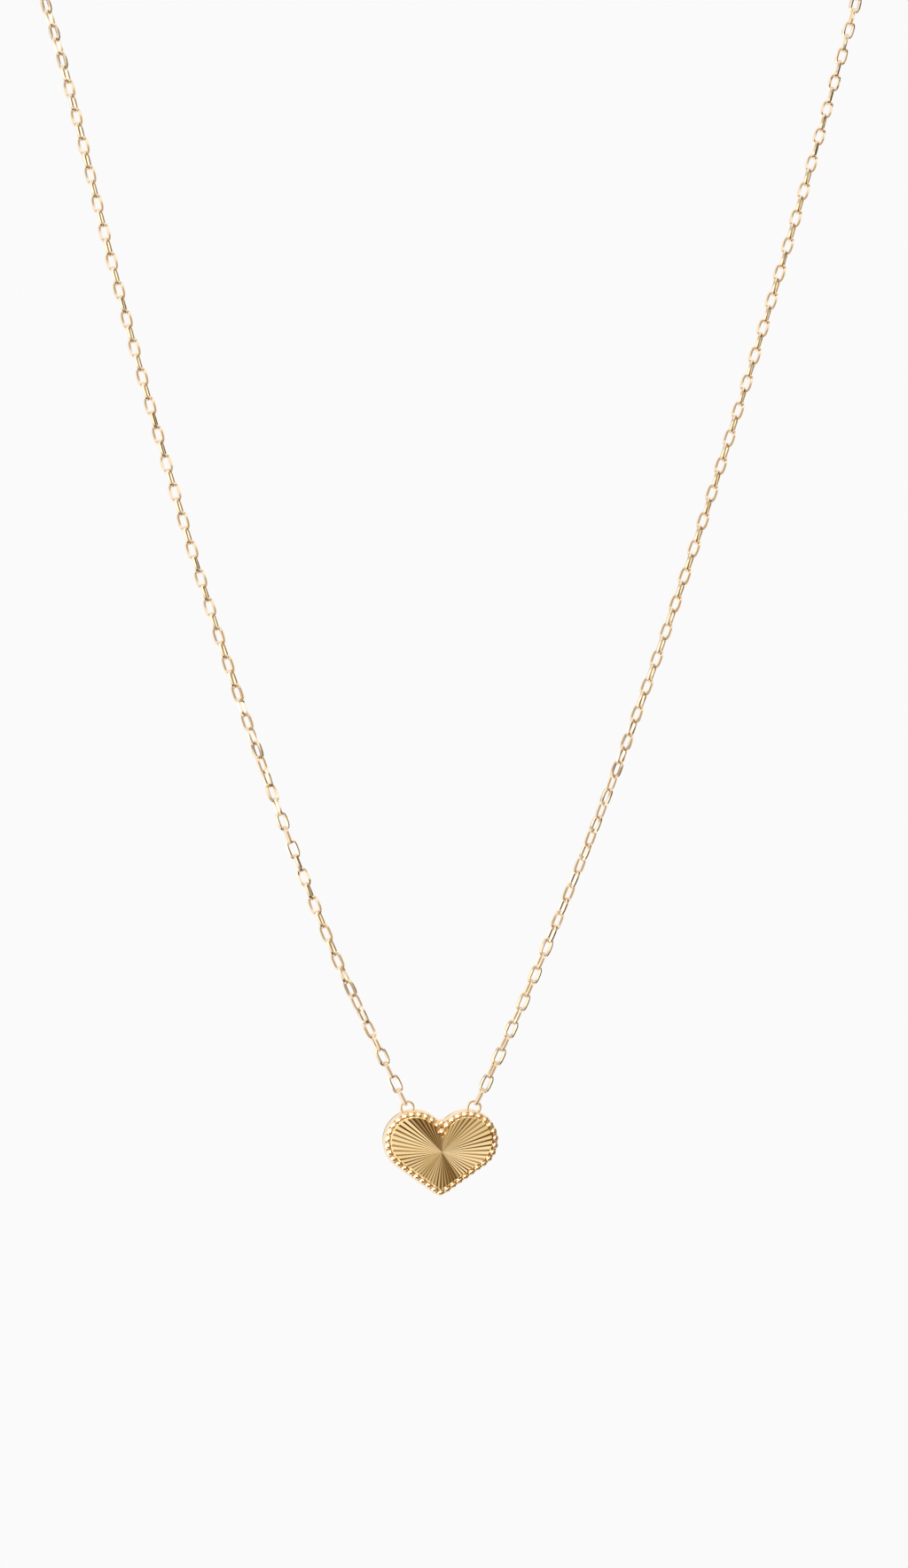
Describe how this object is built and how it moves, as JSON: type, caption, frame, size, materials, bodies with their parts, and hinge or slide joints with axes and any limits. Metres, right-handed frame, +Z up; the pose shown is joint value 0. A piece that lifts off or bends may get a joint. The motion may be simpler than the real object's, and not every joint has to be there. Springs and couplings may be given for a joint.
{
  "type": "heart pendant necklace",
  "caption": "Gold heart pendant with a fluted sunburst face and a beaded border, hung from both lobes on a fine flat cable chain that closes behind the neck.",
  "frame": {"origin": "the nape, in the middle of the clasp, where the necklace lies on the back of a neck", "axes": "+Z up as worn, the heart faces -Y, +X to the right seen from the front"},
  "size_m": [0.093, 0.0884, 0.1455],
  "materials": {
    "heart_gold": "polished, with bright cut flutes",
    "chain_gold": "polished",
    "clasp_gold": "polished"
  },
  "bodies": {
    "necklace": {"chain_left": "chain_gold", "chain_right": "chain_gold", "end_link_left": "chain_gold", "end_link_right": "chain_gold", "catch_ring": "clasp_gold", "clasp": "clasp_gold"},
    "pendant": {"pendant_heart": "heart_gold"}
  },
  "joints": [
    {"name": "heart_swing", "type": "hinge", "parent": "necklace", "child": "pendant", "pos_m": [-0.002, -0.086, -0.1347], "axis": [1, 0, 0], "range_deg": [-75, 75]}
  ]
}
